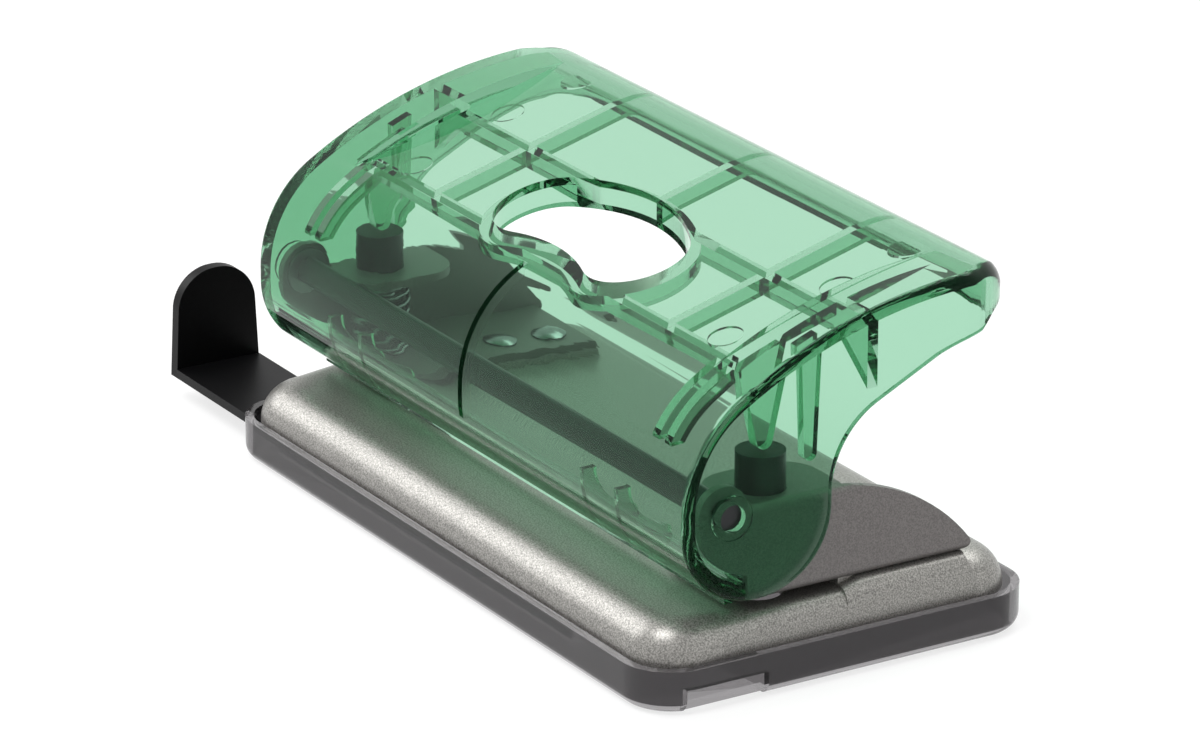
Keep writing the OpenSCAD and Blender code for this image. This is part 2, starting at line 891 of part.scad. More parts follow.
// Low rib inside the drum's front, under the axle
module cradle(x) {
    along_x(x - cradle_t / 2, x + cradle_t / 2)
        intersection() {
            translate([drum_y, drum_z])
                difference() {
                    circle(r = drum_r - skin_t / 2);
                    circle(r = drum_r - rib_depth);
                }
            translate([front_y, 0])
                square([lip_y - front_y, drum_z]);
        }
}
module gusset() {
    top = flat_z + flat_slope * (rib_back_y - flat_y);
    intersection() {
        along_y(rib_back_y - rib_t / 2, rib_back_y + rib_t / 2)
            polygon([
                [flat_half, top - rib_depth],
                [lever_half - end_wall - gusset_run, top - rib_depth],
                [lever_half - end_wall + eps, top - gusset_drop],
                [lever_half - end_wall + eps, top + far],
                [flat_half, top + far]
            ]);
        along_x(-far, far)
            polygon(concat(crown(skin_t / 2), [[lever_back, 0], [front_y, 0]]));
    }
}
module lever() {
    color(lever_colour)
        difference() {
            union() {
                shell();
                ribs();
                both_ends() {
                    hanging_rib(pin_x, press_t, pin_y, nose_z, nose_r, press_half);
                    hanging_rib(stop_rib_x, stop_rib_t, stop_rib_y, stop_nose_z, stop_nose_r, stop_nose_r + 0.7);
                    for (x = short_rib_xs)
                        short_rib(x);
                    for (x = cradle_xs)
                        cradle(x);
                    gusset();
                    translate([lever_half - eps, axle_y, axle_z])
                        rotate([0, 90, 0])
                            cylinder(r = boss_r, h = boss_h + eps);
                }
                box(-lip_half, lip_half, lip_y - lip_t, lip_y, lip_z, drum_z - drum_r + skin_t);
            }
            linear_extrude(far)
                kidney(0);
            box(-slit_w / 2, slit_w / 2, front_y - 1, flat_y, drum_z - skin_t, far);
            translate([-far, axle_y, axle_z])
                rotate([0, 90, 0])
                    cylinder(r = axle_r + axle_fit, h = 2 * far);
        }
}

chip_tray();
paper_guide();
base_plate();
bracket_left();
bracket_right();
bracket_rivets();
axle();
axle_rings();
lever();
pin_left();
pin_right();
pin_clip_left();
pin_clip_right();
spring_washer_left();
spring_washer_right();
spring_left();
spring_right();
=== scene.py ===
"""Mini hole punch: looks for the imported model, laid out as an add-on and run as a script."""

import math

import bmesh
import bpy
import numpy as np
from mathutils import Matrix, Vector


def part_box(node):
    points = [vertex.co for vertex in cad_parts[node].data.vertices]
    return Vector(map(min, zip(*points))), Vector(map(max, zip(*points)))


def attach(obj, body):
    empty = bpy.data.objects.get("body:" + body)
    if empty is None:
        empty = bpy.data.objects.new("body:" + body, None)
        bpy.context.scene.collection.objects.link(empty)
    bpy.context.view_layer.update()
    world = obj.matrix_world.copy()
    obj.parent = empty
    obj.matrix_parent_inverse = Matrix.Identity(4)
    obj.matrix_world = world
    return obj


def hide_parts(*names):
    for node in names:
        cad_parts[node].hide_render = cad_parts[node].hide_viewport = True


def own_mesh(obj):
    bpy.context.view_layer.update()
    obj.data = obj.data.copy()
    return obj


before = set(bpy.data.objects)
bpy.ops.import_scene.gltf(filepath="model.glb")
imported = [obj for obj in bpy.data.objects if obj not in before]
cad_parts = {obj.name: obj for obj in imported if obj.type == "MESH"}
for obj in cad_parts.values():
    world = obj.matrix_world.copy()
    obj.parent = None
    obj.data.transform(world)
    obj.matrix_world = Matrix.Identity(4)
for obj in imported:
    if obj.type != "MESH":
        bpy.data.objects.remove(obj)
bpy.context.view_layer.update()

bl_info = {
    "name": "Mini hole punch",
    "version": (1, 0, 0),
    "blender": (4, 5, 0),
    "location": "View3D > Sidebar > Punch",
    "description": "Clear lever, painted steel base, smoke tray and stage of a mini hole punch",
    "category": "Object",
}

MM = 0.001


def linear(colour):
    """Turns an sRGB hex colour into linear red, green and blue."""
    parts = np.array([int(colour[i : i + 2], 16) / 255 for i in (1, 3, 5)])
    low, high = parts / 12.92, ((parts + 0.055) / 1.055) ** 2.4
    return tuple(np.where(parts <= 0.04045, low, high))


# Sizes and colours that a user would change


class PunchSizes(bpy.types.PropertyGroup):
    """Sizes of the pieces that are made here."""

    spring_wire: bpy.props.FloatProperty(
        name="Spring wire",
        description="Diameter of the return springs' wire",
        default=0.55 * MM,
        unit="LENGTH",
    )
    spring_curls: bpy.props.IntProperty(
        name="Spring curls",
        description="Number of curls in each return spring",
        default=5,
    )
    # Real flakes are about 0.03 mm across: the grain is drawn coarser, so that it shows
    flake: bpy.props.FloatProperty(
        name="Paint flake",
        description="Size of the grain in the metallic paint",
        default=0.18 * MM,
        unit="LENGTH",
    )


class PunchColours(bpy.types.PropertyGroup):
    """Colours of the finishes."""

    lever: bpy.props.FloatVectorProperty(
        name="Lever",
        description="Colour that the clear plastic lets through best",
        default=linear("#00B16F"),
        subtype="COLOR",
        min=0.0,
        max=1.0,
    )
    plate: bpy.props.FloatVectorProperty(
        name="Base plate",
        description="Silver paint of the base plate",
        default=linear("#8E8C88"),
        subtype="COLOR",
        min=0.0,
        max=1.0,
    )
    bracket: bpy.props.FloatVectorProperty(
        name="Brackets",
        description="Grey paint of the brackets",
        default=linear("#6C6867"),
        subtype="COLOR",
        min=0.0,
        max=1.0,
    )
    tray: bpy.props.FloatVectorProperty(
        name="Chip tray",
        description="Smoke plastic of the chip tray",
        default=linear("#757274"),
        subtype="COLOR",
        min=0.0,
        max=1.0,
    )
    guide: bpy.props.FloatVectorProperty(
        name="Paper guide",
        description="Black plastic of the paper guide",
        default=linear("#050506"),
        subtype="COLOR",
        min=0.0,
        max=1.0,
    )
    steel: bpy.props.FloatVectorProperty(
        name="Steel",
        description="Ground steel of the axle and pins",
        default=linear("#8A8C8E"),
        subtype="COLOR",
        min=0.0,
        max=1.0,
    )


def sizes():
    return bpy.context.scene.punch_sizes


def colours():
    return bpy.context.scene.punch_colours


# Nodes and materials


def add(tree, kind, settings=None, **inputs):
    """Adds a node, sets its settings, and sets or links its inputs by name (spaces as _)."""
    node = tree.nodes.new(kind)
    for key, value in (settings or {}).items():
        setattr(node, key, value)
    for key, value in inputs.items():
        socket = node.inputs[int(key[2:])] if key.startswith("n_") else node.inputs[key.replace("_", " ")]
        if isinstance(value, bpy.types.NodeSocket):
            tree.links.new(value, socket)
        elif isinstance(value, (tuple, list)) and len(value) == 3 and socket.type == "RGBA":
            socket.default_value = (*value, 1.0)
        else:
            socket.default_value = value
    return node


def blank(name):
    """A material with its output node and nothing else."""
    material = bpy.data.materials.new(name)
    material.use_nodes = True
    material.node_tree.nodes.clear()
    output = material.node_tree.nodes.new("ShaderNodeOutputMaterial")
    return material, material.node_tree, output


def clear_polystyrene():
    """Clear green polystyrene, moulded: shows what is inside, darkens along its edges, and has faint flow
    waves on its faces. Shadow rays pass with a pale tint, so that light reaches the pieces inside. The
    index of refraction is kept below the real 1.59, so that white surroundings don't cover the drum."""
    material, tree, output = blank("clear_green_polystyrene")
    place = add(tree, "ShaderNodeTexCoord")
    waves = add(
        tree,
        "ShaderNodeTexNoise",
        Vector=place.outputs["Object"],
        Scale=1 / (9 * MM),
        Detail=1.0,
        Roughness=0.4,
    )
    bump = add(tree, "ShaderNodeBump", Height=waves.outputs["Fac"], Strength=0.12, Distance=0.12 * MM)
    plastic = add(
        tree,
        "ShaderNodeBsdfPrincipled",
        Base_Color=linear("#AED9C0"),
        Roughness=0.02,
        IOR=1.3,
        Specular_Tint=linear("#2A4A3A"),
        Transmission_Weight=0.99,
        Normal=bump.outputs["Normal"],
    )
    lamp_way = add(tree, "ShaderNodeBsdfTransparent", Color=linear("#E0F2E7"))
    path = add(tree, "ShaderNodeLightPath")
    mix = add(
        tree,
        "ShaderNodeMixShader",
        n_0=path.outputs["Is Shadow Ray"],
        n_1=plastic.outputs["BSDF"],
        n_2=lamp_way.outputs["BSDF"],
    )
    tint = add(tree, "ShaderNodeVolumeAbsorption", Color=tuple(colours().lever), Density=80.0)
    tree.links.new(mix.outputs["Shader"], output.inputs["Surface"])
    tree.links.new(tint.outputs["Volume"], output.inputs["Volume"])
    return material


def metallic_paint(name, colour, rough, contrast):
    """Metallic paint on pressed steel: bright and dark flakes that give a grainy shine. Contrast is how far
    the flakes depart from the colour."""
    material, tree, output = blank(name)
    place = add(tree, "ShaderNodeTexCoord")
    flake = sizes().flake
    grain = add(
        tree,
        "ShaderNodeTexNoise",
        Vector=place.outputs["Object"],
        Scale=1 / flake,
        Detail=2.0,
        Roughness=0.6,
    )
    dark = tuple((1 - contrast) * c for c in colour)
    light = tuple(min(1.0, (1 + contrast) * c) for c in colour)
    speck = add(tree, "ShaderNodeMapRange", Value=grain.outputs["Fac"], From_Min=0.35, From_Max=0.65)
    shade = add(
        tree,
        "ShaderNodeMix",
        {"data_type": "RGBA"},
        n_0=speck.outputs["Result"],
        n_6=dark,
        n_7=light,
    )
    bump = add(tree, "ShaderNodeBump", Height=grain.outputs["Fac"], Strength=0.12, Distance=0.06 * MM)
    paint = add(
        tree,
        "ShaderNodeBsdfPrincipled",
        Base_Color=shade.outputs[2],
        Metallic=0.6,
        Roughness=rough,
        Normal=bump.outputs["Normal"],
    )
    tree.links.new(paint.outputs["BSDF"], output.inputs["Surface"])
    return material


def smoke_plastic():
    """Smoke grey clear polystyrene, moulded: dark, a little see-through, glossy with a faint unevenness."""
    material, tree, output = blank("smoke_polystyrene")
    place = add(tree, "ShaderNodeTexCoord")
    cloud = add(
        tree,
        "ShaderNodeTexNoise",
        Vector=place.outputs["Object"],
        Scale=1 / (0.35 * MM),
        Detail=2.0,
    )
    bump = add(tree, "ShaderNodeBump", Height=cloud.outputs["Fac"], Strength=0.03, Distance=0.02 * MM)
    plastic = add(
        tree,
        "ShaderNodeBsdfPrincipled",
        Base_Color=tuple(colours().tray),
        Roughness=0.05,
        IOR=1.33,
        Transmission_Weight=0.92,
        Normal=bump.outputs["Normal"],
    )
    tree.links.new(plastic.outputs["BSDF"], output.inputs["Surface"])
    return material


def black_plastic():
    """Black ABS, moulded in a spark-eroded tool: matt, with a fine grain that is drawn coarser to show."""
    material, tree, output = blank("black_abs")
    place = add(tree, "ShaderNodeTexCoord")
    grain = add(
        tree,
        "ShaderNodeTexNoise",
        Vector=place.outputs["Object"],
        Scale=1 / (0.25 * MM),
        Detail=2.0,
    )
    bump = add(tree, "ShaderNodeBump", Height=grain.outputs["Fac"], Strength=0.2, Distance=0.05 * MM)
    plastic = add(
        tree,
        "ShaderNodeBsdfPrincipled",
        Base_Color=tuple(colours().guide),
        Roughness=0.42,
        Specular_IOR_Level=0.12,
        Normal=bump.outputs["Normal"],
    )
    tree.links.new(plastic.outputs["BSDF"], output.inputs["Surface"])
    return material


def ground_steel(name, colour, rough):
    """Ground steel under a film of oil: a soft metallic shine with a faint unevenness."""
    material, tree, output = blank(name)
    place = add(tree, "ShaderNodeTexCoord")
    marks = add(
        tree,
        "ShaderNodeTexNoise",
        Vector=place.outputs["Object"],
        Scale=1 / (0.4 * MM),
        Detail=3.0,
    )
    bump = add(tree, "ShaderNodeBump", Height=marks.outputs["Fac"], Strength=0.02, Distance=0.01 * MM)
    steel = add(
        tree,
        "ShaderNodeBsdfPrincipled",
        Base_Color=colour,
        Metallic=1.0,
        Roughness=rough,
        Normal=bump.outputs["Normal"],
    )
    tree.links.new(steel.outputs["BSDF"], output.inputs["Surface"])
    return material


# Meshes


def mesh_piece(name, points, faces, material, body):
    """Puts points and faces into a new smooth object at the origin that rides on a body."""
    mesh = bpy.data.meshes.new(name)
    mesh.from_pydata(points.tolist(), [], faces.tolist())
    mesh.update()
    mesh.polygons.foreach_set("use_smooth", np.ones(len(mesh.polygons), bool))
    mesh.materials.append(material)
    piece = bpy.data.objects.new(name, mesh)
    bpy.context.scene.collection.objects.link(piece)
    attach(piece, body)
    return piece


def welded(node):
    """Points and triangles of a CAD node, with points that lie within a micron made one."""
    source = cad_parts[node].data
    points = np.empty(len(source.vertices) * 3)
    source.vertices.foreach_get("co", points)
    points = points.reshape(-1, 3)
    corners = np.empty(len(source.loops), np.int64)
    source.loops.foreach_get("vertex_index", corners)
    keys = np.round(points / 1e-6).astype(np.int64)
    first, same = np.unique(keys, axis=0, return_index=True, return_inverse=True)[1:]
    faces = same.reshape(-1)[corners].reshape(-1, 3)
    a, b, c = faces.T
    return points[first], faces[(a != b) & (b != c) & (c != a)]


def smooth_copy(node, name, material, body, edge):
    """A welded copy of a CAD node with its sharp edges broken by a width, and soft normals elsewhere."""
    points, faces = welded(node)
    piece = mesh_piece(name, points, faces, material, body)
    piece.data.set_sharp_from_angle(angle=math.radians(48))
    broken = piece.modifiers.new("broken_edges", "BEVEL")
    broken.width = edge
    broken.segments = 2
    broken.limit_method = "ANGLE"
    broken.angle_limit = math.radians(65)
    even = piece.modifiers.new("even_normals", "WEIGHTED_NORMAL")
    even.keep_sharp = True
    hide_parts(node)
    return piece


def dress(node, material):
    """Gives a CAD node that stays its material."""
    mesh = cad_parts[node].data
    mesh.materials.clear()
    mesh.materials.append(material)


def tube(path, radius, sides):
    """A closed tube of triangles: a circle of the given radius carried along path, square to it, with both
    ends shut by a fan."""
    ahead = np.gradient(path, axis=0)
    ahead /= np.linalg.norm(ahead, axis=1, keepdims=True)
    side = np.cross(ahead, [0.0, 0.0, 1.0])
    side /= np.linalg.norm(side, axis=1, keepdims=True)
    over = np.cross(side, ahead)
    turn = np.linspace(0, 2 * np.pi, sides, endpoint=False)
    rings = path[:, None] + radius * (
        np.cos(turn)[None, :, None] * side[:, None] + np.sin(turn)[None, :, None] * over[:, None]
    )
    count = len(path)
    index = np.arange(count * sides).reshape(count, sides)
    onward = np.roll(index, -1, axis=1)
    start, stop = (np.full(sides, count * sides + k) for k in range(2))
    near, far, far_on, near_on = (a.reshape(-1) for a in (index[:-1], index[1:], onward[1:], onward[:-1]))
    faces = np.concatenate(
        [
            np.stack([near, far, far_on], -1),
            np.stack([near, far_on, near_on], -1),
            np.stack([start, index[0], onward[0]], -1),
            np.stack([stop, onward[-1], index[-1]], -1),
        ]
    )
    return np.concatenate([rings.reshape(-1, 3), path[[0, -1]]]), faces


# Operators


class PUNCH_OT_stage(bpy.types.Operator):
    """Make the camera, floor, lamps and white surroundings"""

    bl_idname = "punch.stage"
    bl_label = "Stage"

    def execute(self, context):
        scene = context.scene
        scene.view_settings.view_transform = "Standard"
        # Clear plastic turns light many times: with fewer bounces its edges go black
        scene.cycles.max_bounces = 24
        scene.cycles.glossy_bounces = 8
        scene.cycles.transmission_bounces = 24
        make_camera(scene)
        make_floor(scene)
        make_light(scene)
        return {"FINISHED"}


# Camera worked out from the photograph's perspective: angles in degrees, focal length in millimetres
AZIMUTH, ELEVATION, ROLL = 58.4, 20.725, 0.114
EYE = (559.98 * MM, -347.13 * MM, 268.42 * MM)
LENS = 188.27


def make_camera(scene):
    """Camera at the solved place, turned by azimuth, elevation and roll."""
    turn, rise, roll = (math.radians(a) for a in (AZIMUTH, ELEVATION, ROLL))
    back = np.array([math.cos(rise) * math.sin(turn), -math.cos(rise) * math.cos(turn), math.sin(rise)])
    right = np.array([math.cos(turn), math.sin(turn), 0.0])
    up = np.cross(back, right)
    right, up = (
        math.cos(roll) * right + math.sin(roll) * up,
        math.cos(roll) * up - math.sin(roll) * right,
    )
    data = bpy.data.cameras.new("camera")
    data.sensor_fit = "HORIZONTAL"
    data.sensor_width = 36.0
    data.lens = LENS
    data.clip_start, data.clip_end = 0.01, 20.0
    camera = bpy.data.objects.new("camera", data)
    axes = np.eye(4)
    axes[:3, :4] = np.stack([right, up, back, np.array(EYE)], 1)
    camera.matrix_world = Matrix(axes.tolist())
    scene.collection.objects.link(camera)
    scene.camera = camera


def seen(tree):
    """1 for rays that the camera, a mirror or clear plastic sends, 0 for rays that carry light."""
    path = add(tree, "ShaderNodeLightPath")
    first = add(
        tree,
        "ShaderNodeMath",
        {"operation": "MAXIMUM"},
        n_0=path.outputs["Is Camera Ray"],
        n_1=path.outputs["Is Glossy Ray"],
    )
    return add(
        tree,
        "ShaderNodeMath",
        {"operation": "MAXIMUM"},
        n_0=first.outputs[0],
        n_1=path.outputs["Is Transmission Ray"],
    ).outputs[0]


def make_floor(scene):
    """A white floor that keeps the punch's soft shadow."""
    material, tree, output = blank("white_card")
    card = add(tree, "ShaderNodeBsdfDiffuse", Color=linear("#E7E7E7"))
    shade = add(tree, "ShaderNodeBsdfDiffuse", Color=linear("#909090"))
    glow = add(tree, "ShaderNodeEmission", Color=linear("#FFFFFF"), Strength=0.76)
    white = add(tree, "ShaderNodeAddShader", n_0=shade.outputs[0], n_1=glow.outputs[0])
    mix = add(tree, "ShaderNodeMixShader", n_0=seen(tree), n_1=card.outputs[0], n_2=white.outputs[0])
    tree.links.new(mix.outputs[0], output.inputs["Surface"])
    reach = 3.0
    mesh = bpy.data.meshes.new("floor")
    mesh.from_pydata(
        [(-reach, -reach, 0), (reach, -reach, 0), (reach, reach, 0), (-reach, reach, 0)],
        [],
        [(0, 1, 2, 3)],
    )
    mesh.materials.append(material)
    floor = bpy.data.objects.new("floor", mesh)
    scene.collection.objects.link(floor)


def make_light(scene):
    """White surroundings and soft lamps, aimed at the punch."""
    world = bpy.data.worlds.new("white_studio")
    scene.world = world
    world.use_nodes = True
    tree = world.node_tree
    tree.nodes.clear()
    light = add(tree, "ShaderNodeBackground", Color=linear("#FFFFFF"), Strength=0.45)
    back = add(tree, "ShaderNodeBackground", Color=linear("#FFFFFF"), Strength=1.0)
    mix = add(tree, "ShaderNodeMixShader", n_0=seen(tree), n_1=light.outputs[0], n_2=back.outputs[0])
    output = tree.nodes.new("ShaderNodeOutputWorld")
    tree.links.new(mix.outputs[0], output.inputs["Surface"])
    lamps = (
        ("key", (-0.66, -0.38, 0.50), 0.55, 3.6),
        ("top", (-0.15, 0.45, 0.80), 0.60, 4.0),
        ("front", (0.08, -0.38, 0.82), 0.35, 3.6),
        ("side", (0.70, 0.35, 0.50), 0.50, 0.3),
    )
    for name, place, size, power in lamps:
        data = bpy.data.lights.new(name, "AREA")
        data.shape = "SQUARE"
        data.size = size
        data.energy = power
        lamp = bpy.data.objects.new(name, data)
        away = np.array(place) / np.linalg.norm(place)
        side = np.cross([0.0, 1.0, 0.0] if abs(away[2]) > 0.95 else [0.0, 0.0, 1.0], away)
        side /= np.linalg.norm(side)
        axes = np.eye(4)
        axes[:3, :4] = np.stack([side, np.cross(away, side), away, np.array(place)], 1)
        lamp.matrix_world = Matrix(axes.tolist())
        lamp.visible_transmission = False
        scene.collection.objects.link(lamp)


# Outline of the lever's ends in Y and Z, in millimetres: arcs as centre, radius and angles
DRUM, DRUM_R = (-11.5, 20.4), 9.3
FRONT, FRONT_R = (-6.6, 22.1), 14.2
CROWN_R, CROWN_A = 60.0, 121.5
BACK_R, HEEL_R, HEEL_RUN_R, HEEL_A = 5.5, 1.3, 30.0, 110.0
NECK, NECK_R, NECK_A = (8.0, 21.5), 10.2, 115.0
# Length over the end walls, and plan radius of the back corners
LEVER_L, PLAN_R = 93.2, 8.5
# Rounds of the edge under the neck, round the end and at the back corner, and of the heel
NECK_ROUND, END_ROUND, CORNER_ROUND, HEEL_ROUND = 0.5, 1.0, 4.0, 2.2
# Places in X and Y, radius and depth of the dents that the ejector pins left under the panel
EJECTORS = [(side * x, y) for side in (-1, 1) for x, y in ((34.5, 6.2), (34.0, 15.3), (33.0, -7.0))]
EJECTOR_R, EJECTOR_DEPTH = 2.0, 0.25


def arc(centre, radius, start, stop, step=0.15):
    """Points c + r (cos a, sin a) for a from start to stop, about step apart."""
    count = max(3, int(abs(math.radians(stop - start)) * radius / step))
    turn = np.radians(np.linspace(start, stop, count))
    return np.array(centre) + radius * np.stack([np.cos(turn), np.sin(turn)], 1)


def crown_and_back(back_y):
    """Middles of the crown's arc and of the back's arc, and the angle at which they meet."""
    crown = np.array(FRONT) - (CROWN_R - FRONT_R) * np.array(
        [math.cos(math.radians(CROWN_A)), math.sin(math.radians(CROWN_A))]
    )
    reach = CROWN_R - BACK_R
    back_a = math.degrees(math.acos((back_y - BACK_R - crown[0]) / reach))
    back = np.array([back_y - BACK_R, crown[1] + reach * math.sin(math.radians(back_a))])
    return crown, back, back_a


def end_outline(back_y):
    """The end's edge from the handle's heel under the neck, round the drum and over the crown to the back."""
    crown, back, back_a = crown_and_back(back_y)
    heel = np.array([back_y - HEEL_R, back[1]])
    run = heel - [0.0, HEEL_R + HEEL_RUN_R]
    return np.concatenate(
        [
            arc(heel, HEEL_R, 360, 270),
            arc(run, HEEL_RUN_R, 90, HEEL_A),
            arc(NECK, NECK_R, NECK_A, 180),
            arc(DRUM, DRUM_R, 360, 180),
            arc(FRONT, FRONT_R, 180, CROWN_A),
            arc(crown, CROWN_R, CROWN_A, back_a),
            arc(back, BACK_R, back_a, 0),
        ]
    )


def even_steps(path, step):
    """The same path with points at even distances along it."""
    gaps = np.linalg.norm(np.diff(path, axis=0), axis=1)
    path = path[np.concatenate([[True], gaps > 1e-6])]
    run = np.concatenate([[0], np.cumsum(np.linalg.norm(np.diff(path, axis=0), axis=1))])
    at = np.linspace(0, run[-1], int(run[-1] / step))
    return np.stack([np.interp(at, run, path[:, k]) for k in range(2)], 1)


def edge_cutter(half, back_y):
    """Solid outside the rounded edge of the right end. At each edge point E with the skin's normal m and
    the end's normal n, the round's middle is C = E - r (m + n) / (1 + m.n), and the cut follows
    C + r u for u turning from m to n."""
    edge = even_steps(end_outline(back_y), 0.3)
    ahead = np.gradient(edge, axis=0)
    ahead /= np.linalg.norm(ahead, axis=1, keepdims=True)
    corner = np.clip((edge[:, 0] - (back_y - PLAN_R)) / PLAN_R, 0, 1)
    zero = np.zeros(len(edge))
    skin = np.stack([zero, -ahead[:, 1], ahead[:, 0]], 1)
    end = np.stack([np.sqrt(1 - corner**2), corner, zero], 1)
    place = np.stack([half - PLAN_R + PLAN_R * np.sqrt(1 - corner**2), edge[:, 0], edge[:, 1]], 1)
    span = np.linspace(0, 1, len(edge))
    drum = np.argmin(np.abs(edge[:, 1] - (DRUM[1] - DRUM_R)))
    top = np.interp(span, [span[drum] - 0.08, span[drum]], [NECK_ROUND, END_ROUND])
    radius = np.where(span < span[drum], top, END_ROUND + (CORNER_ROUND - END_ROUND) * corner)
    cosine = np.sum(skin * end, 1)
    keep = cosine < math.cos(math.radians(20))
    skin, end, place, radius, cosine = (a[keep] for a in (skin, end, place, radius, cosine))
    middle = place - (radius / (1 + cosine))[:, None] * (skin + end)
    angle = np.arccos(cosine)
    share = np.linspace(0.09, 0.91, 12)
    turn = (
        np.sin((1 - share)[None] * angle[:, None])[..., None] * skin[:, None]
        + np.sin(share[None] * angle[:, None])[..., None] * end[:, None]
    ) / np.sin(angle)[:, None, None]
    cut = middle[:, None] + radius[:, None, None] * turn
    before = cut[:, :1] + (cut[:, :1] - cut[:, 1:2]) * 4.0
    after = cut[:, -1:] + (cut[:, -1:] - cut[:, -2:-1]) * 4.0
    out = np.stack(
        [
            after[:, 0] + 1.5 * end,
            place + 2.0 * (skin + end) / (1 + cosine)[:, None],
            before[:, 0] + 1.5 * skin,
        ],
        1,
    )
    return np.concatenate([before, cut, after, out], 1)


def heel_cutter(half, back_y):
    """Solid outside the heel's round at the right back corner: an arc of radius r between the back and the
    underside, carried along the back edge and round the corner p + out n."""
    low = crown_and_back(back_y)[1][1] - HEEL_R
    middle = np.array([-HEEL_ROUND, low + HEEL_ROUND])
    turn = np.radians(np.linspace(0, -85, 24))
    spoke = np.stack([np.cos(turn), np.sin(turn)], 1)
    profile = np.concatenate(
        [
            [middle + (HEEL_ROUND + 2.5) * spoke[0]],
            middle + HEEL_ROUND * spoke,
            [middle + (HEEL_ROUND + 1.5) * spoke[-1], [2.5, low - 1.5]],
        ]
    )
    run = np.linspace(half - PLAN_R - 14, half - PLAN_R, 15)[:-1]
    corner = np.radians(np.linspace(0, 90, 25))
    along = np.concatenate([run, half - PLAN_R + PLAN_R * np.sin(corner)])
    across = np.concatenate([np.full(len(run), back_y), back_y - PLAN_R + PLAN_R * np.cos(corner)])
    facing = np.concatenate([np.zeros(len(run)), corner])
    begin = np.clip((run[-1] - np.concatenate([run, np.full(len(corner), run[-1])]) - 2) / 10, 0, 1)
    end = np.clip((facing - np.radians(50)) / np.radians(35), 0, 1)
    clear = 1.6 * np.maximum(begin, end) ** 2
    out = profile[None, :, 0] + clear[:, None]
    return np.stack(
        [
            along[:, None] + out * np.sin(facing)[:, None],
            across[:, None] + out * np.cos(facing)[:, None],
            profile[None, :, 1] - clear[:, None],
        ],
        2,
    )


def ejector_marks(piece):
    """Thin round dents in the panel's underside: a circle of radius r carried along the panel's normal."""
    turn = np.linspace(0, 2 * np.pi, 40, endpoint=False)
    marks = []
    for x, y in EJECTORS:
        found, place, normal, _ = piece.ray_cast((x, y, DRUM[1]), (0, 0, 1))
        if not found:
            raise RuntimeError("no panel over an ejector mark")
        normal = np.array(normal)
        side = np.cross(normal, [1.0, 0.0, 0.0])
        side /= np.linalg.norm(side)
        ring = EJECTOR_R * (
            np.cos(turn)[:, None] * side + np.sin(turn)[:, None] * np.cross(normal, side)
        )
        depth = np.array([-EJECTOR_DEPTH, 0.6])
        marks.append(np.array(place) + ring[None] + depth[:, None, None] * normal)
    return marks


def loft(rings, first):
    """Faces that join closed rings into a solid with both ends shut, for a count x sides x 3 array whose
    points are numbered from first."""
    count, sides = rings.shape[:2]
    index = first + np.arange(count * sides).reshape(count, sides)
    onward = np.roll(index, -1, axis=1)
    walls = np.stack([index[:-1], index[1:], onward[1:], onward[:-1]], -1).reshape(-1, 4)
    return [*walls.tolist(), index[0].tolist(), index[-1][::-1].tolist()]


def cut_away(piece, solids):
    """Takes lofted solids away from the piece's mesh, worked out in millimetres."""
    points = [rings.reshape(-1, 3) for rings in solids]
    firsts = np.cumsum([0] + [len(p) for p in points])
    faces = [face for rings, first in zip(solids, firsts) for face in loft(rings, first)]
    mesh = bpy.data.meshes.new("cutter")
    mesh.from_pydata(np.concatenate(points).tolist(), [], faces)
    build = bmesh.new()
    build.from_mesh(mesh)
    bmesh.ops.recalc_face_normals(build, faces=build.faces)
    build.to_mesh(mesh)
    build.free()
    cutter = bpy.data.objects.new("cutter", mesh)
    bpy.context.scene.collection.objects.link(cutter)
    cut = piece.modifiers.new("cut", "BOOLEAN")
    cut.operation = "DIFFERENCE"
    cut.solver = "EXACT"
    cut.object = cutter
    graph = bpy.context.evaluated_depsgraph_get()
    made = bpy.data.meshes.new_from_object(piece.evaluated_get(graph))
    piece.modifiers.clear()
    piece.data = made
    bpy.data.objects.remove(cutter)


def keep_glare_off(piece):
    """Takes the piece out of the key and front lamps' light, so that their glare doesn't hide its inside."""
    clear = bpy.data.collections.new("clear_pieces")
    clear.objects.link(piece)
    clear.collection_objects[0].light_linking.link_state = "EXCLUDE"
    for name in ("key", "front"):
        bpy.data.objects[name].light_linking.receiver_collection = clear


class PUNCH_OT_lever(bpy.types.Operator):
    """Make the clear lever"""

    bl_idname = "punch.lever"
    bl_label = "Lever"

    def execute(self, context):
        points, faces = welded("lever")
        piece = mesh_piece("lever_shell", points / MM, faces, clear_polystyrene(), "lever")
        half, back_y = LEVER_L / 2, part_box("lever")[1][1] / MM
        for solid in (edge_cutter(half, back_y), heel_cutter(half, back_y)):
            cut_away(piece, [solid, solid * [-1, 1, 1]])
        context.view_layer.update()
        cut_away(piece, ejector_marks(piece))
        piece.data.transform(Matrix.Scale(MM, 4))
        piece.data.polygons.foreach_set("use_smooth", np.ones(len(piece.data.polygons), bool))
        piece.data.set_sharp_from_angle(angle=math.radians(32))
        even = piece.modifiers.new("even_normals", "WEIGHTED_NORMAL")
        even.keep_sharp = True
        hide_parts("lever")
        keep_glare_off(piece)
        return {"FINISHED"}


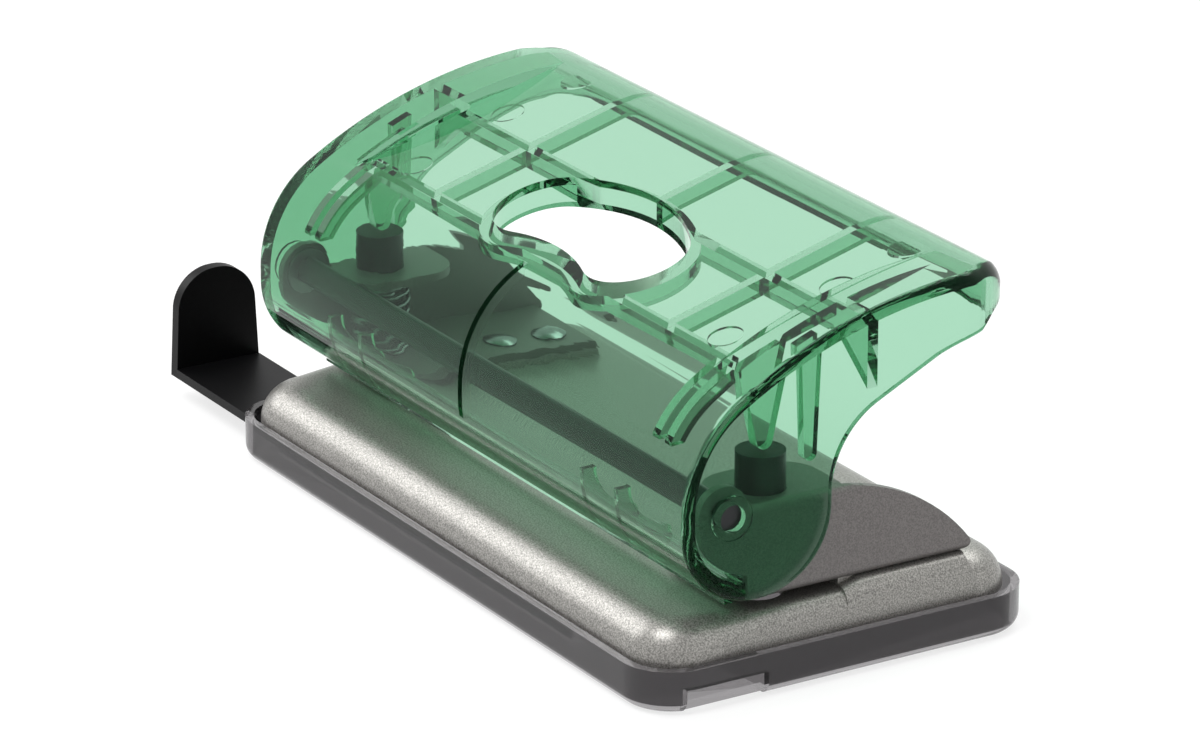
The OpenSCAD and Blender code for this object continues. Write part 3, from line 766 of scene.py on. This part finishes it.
class PUNCH_OT_base(bpy.types.Operator):
    """Make the painted base plate and brackets"""

    bl_idname = "punch.base"
    bl_label = "Base plate and brackets"

    def execute(self, context):
        silver = metallic_paint("silver_metallic_paint", tuple(colours().plate), 0.35, 0.45)
        grey = metallic_paint("grey_metallic_paint", tuple(colours().bracket), 0.42, 0.22)
        smooth_copy("base_plate", "plate", silver, "base", 0.1 * MM)
        for hand in ("left", "right"):
            smooth_copy(f"bracket_{hand}", f"{hand}_bracket", grey, "base", 0.15 * MM)
        return {"FINISHED"}


class PUNCH_OT_tray(bpy.types.Operator):
    """Make the chip tray"""

    bl_idname = "punch.tray"
    bl_label = "Chip tray"

    def execute(self, context):
        smooth_copy("chip_tray", "tray_tub", smoke_plastic(), "tray", 0.25 * MM)
        return {"FINISHED"}


class PUNCH_OT_guide(bpy.types.Operator):
    """Make the paper guide"""

    bl_idname = "punch.guide"
    bl_label = "Paper guide"

    def execute(self, context):
        smooth_copy("paper_guide", "guide_arm", black_plastic(), "guide", 0.25 * MM)
        return {"FINISHED"}


# Share of the steel's colour kept for the darker axle and pins
DARK_SHARE = 0.14


class PUNCH_OT_steel(bpy.types.Operator):
    """Give the axle, pins, clips, washers, rings and rivets their steel"""

    bl_idname = "punch.steel"
    bl_label = "Steel parts"

    def execute(self, context):
        # The axle and pins are drawn in the steel colour scaled down to this share
        dark = ground_steel("dark_steel", tuple(DARK_SHARE * c for c in colours().steel), 0.4)
        bright = ground_steel("ground_steel", tuple(colours().steel), 0.25)
        dress("axle", dark)
        for node in ("axle_rings", "bracket_rivets"):
            dress(node, bright)
        for hand in ("left", "right"):
            dress(f"pin_{hand}", dark)
            for node in ("pin_clip", "spring_washer"):
                dress(f"{node}_{hand}", bright)
        return {"FINISHED"}


class PUNCH_OT_springs(bpy.types.Operator):
    """Wind the two return springs"""

    bl_idname = "punch.springs"
    bl_label = "Return springs"

    def execute(self, context):
        wire = ground_steel("drawn_spring_wire", tuple(colours().steel), 0.22)
        for hand in ("left", "right"):
            wind_spring(hand, wire)
        return {"FINISHED"}


# Room between pin and wire, and rise of a closed end turn as a share of the wire
WIRE_ROOM, CLOSED_RISE = 0.12 * MM, 1.02


def wind_spring(hand, material):
    """Helix (c + R cos a, c + R sin a, z), where z rises by about one wire in the first and last turn, and
    evenly in the curls between them."""
    low, high = (np.array(c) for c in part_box(f"spring_{hand}"))
    pin_low, pin_high = (np.array(c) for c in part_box(f"pin_{hand}"))
    middle = (pin_low + pin_high) / 2
    wire = sizes().spring_wire
    radius = (pin_high[0] - pin_low[0]) / 2 + WIRE_ROOM + wire / 2
    turns = sizes().spring_curls + 2
    angle = np.linspace(0, 2 * np.pi * turns, 40 * turns + 1)
    done = angle / (2 * np.pi)
    share = np.clip((done - 1) / sizes().spring_curls, 0, 1)
    bottom, top = low[2] + wire / 2, high[2] - wire / 2
    closed = (np.clip(done, 0, 1) + np.clip(done - (turns - 1), 0, 1)) * CLOSED_RISE * wire
    height = bottom + closed + share * (top - bottom - 2 * CLOSED_RISE * wire)
    path = np.stack([middle[0] + radius * np.cos(angle), middle[1] + radius * np.sin(angle), height], 1)
    points, faces = tube(path, wire / 2, 12)
    piece = mesh_piece(f"{hand}_spring", points, faces, material, "base")
    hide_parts(f"spring_{hand}")
    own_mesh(piece)


class PUNCH_PT_panel(bpy.types.Panel):
    """Sizes, colours and pieces of the punch"""

    bl_idname = "PUNCH_PT_panel"
    bl_label = "Mini hole punch"
    bl_space_type = "VIEW_3D"
    bl_region_type = "UI"
    bl_category = "Punch"

    def draw(self, context):
        for group in (context.scene.punch_sizes, context.scene.punch_colours):
            for name in group.__annotations__:
                self.layout.prop(group, name)
        for operator in OPERATORS:
            self.layout.operator(operator.bl_idname)


OPERATORS = (
    PUNCH_OT_stage,
    PUNCH_OT_tray,
    PUNCH_OT_base,
    PUNCH_OT_guide,
    PUNCH_OT_steel,
    PUNCH_OT_springs,
    PUNCH_OT_lever,
)
CLASSES = (PunchSizes, PunchColours, *OPERATORS, PUNCH_PT_panel)


def register():
    for cls in CLASSES:
        bpy.utils.register_class(cls)
    bpy.types.Scene.punch_sizes = bpy.props.PointerProperty(type=PunchSizes)
    bpy.types.Scene.punch_colours = bpy.props.PointerProperty(type=PunchColours)


def unregister():
    del bpy.types.Scene.punch_sizes
    del bpy.types.Scene.punch_colours
    for cls in reversed(CLASSES):
        bpy.utils.unregister_class(cls)


def main():
    register()
    bpy.ops.punch.stage()
    bpy.ops.punch.tray()
    bpy.ops.punch.base()
    bpy.ops.punch.guide()
    bpy.ops.punch.steel()
    bpy.ops.punch.springs()
    bpy.ops.punch.lever()


if __name__ == "__main__":
    main()
